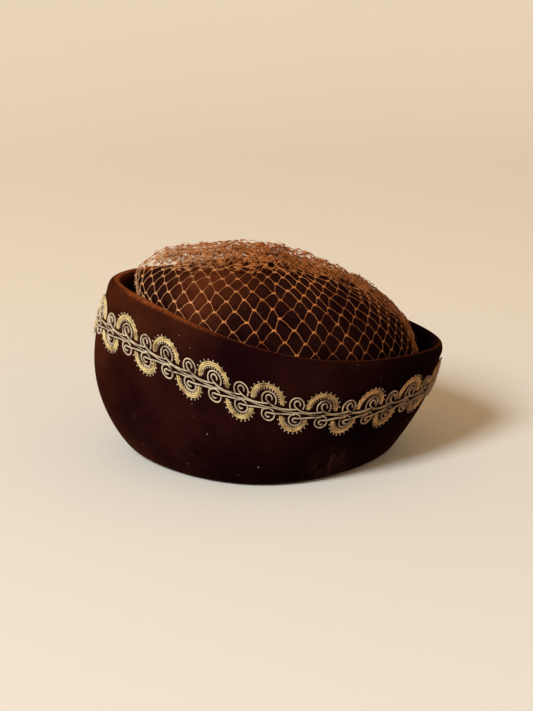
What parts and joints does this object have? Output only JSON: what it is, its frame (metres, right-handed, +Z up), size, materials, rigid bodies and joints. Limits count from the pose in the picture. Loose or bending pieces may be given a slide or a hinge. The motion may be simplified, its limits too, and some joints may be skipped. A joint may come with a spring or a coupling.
{
  "type": "pillbox hat",
  "caption": "Domed velvet hat with a deep upturned cuff, tall in front, a scrolled gimp braid round it and a coarse net veil over the crown.",
  "frame": {"origin": "middle of the hat's footprint, on the surface it rests on", "axes": "+Z up out of the crown, -X towards the tall front, +X towards the low back"},
  "size_m": [0.2588, 0.2136, 0.1532],
  "materials": {
    "cuff_velvet": "dark brown velvet, brushed towards the rim",
    "crown_velvet": "dark brown velvet",
    "gimp": "satin cord in gold and silver beige",
    "net": "copper brown knotted net"
  },
  "bodies": {
    "root": {"cuff": "cuff_velvet", "crown": "crown_velvet", "braid": "gimp", "veil": "net"}
  },
  "joints": []
}
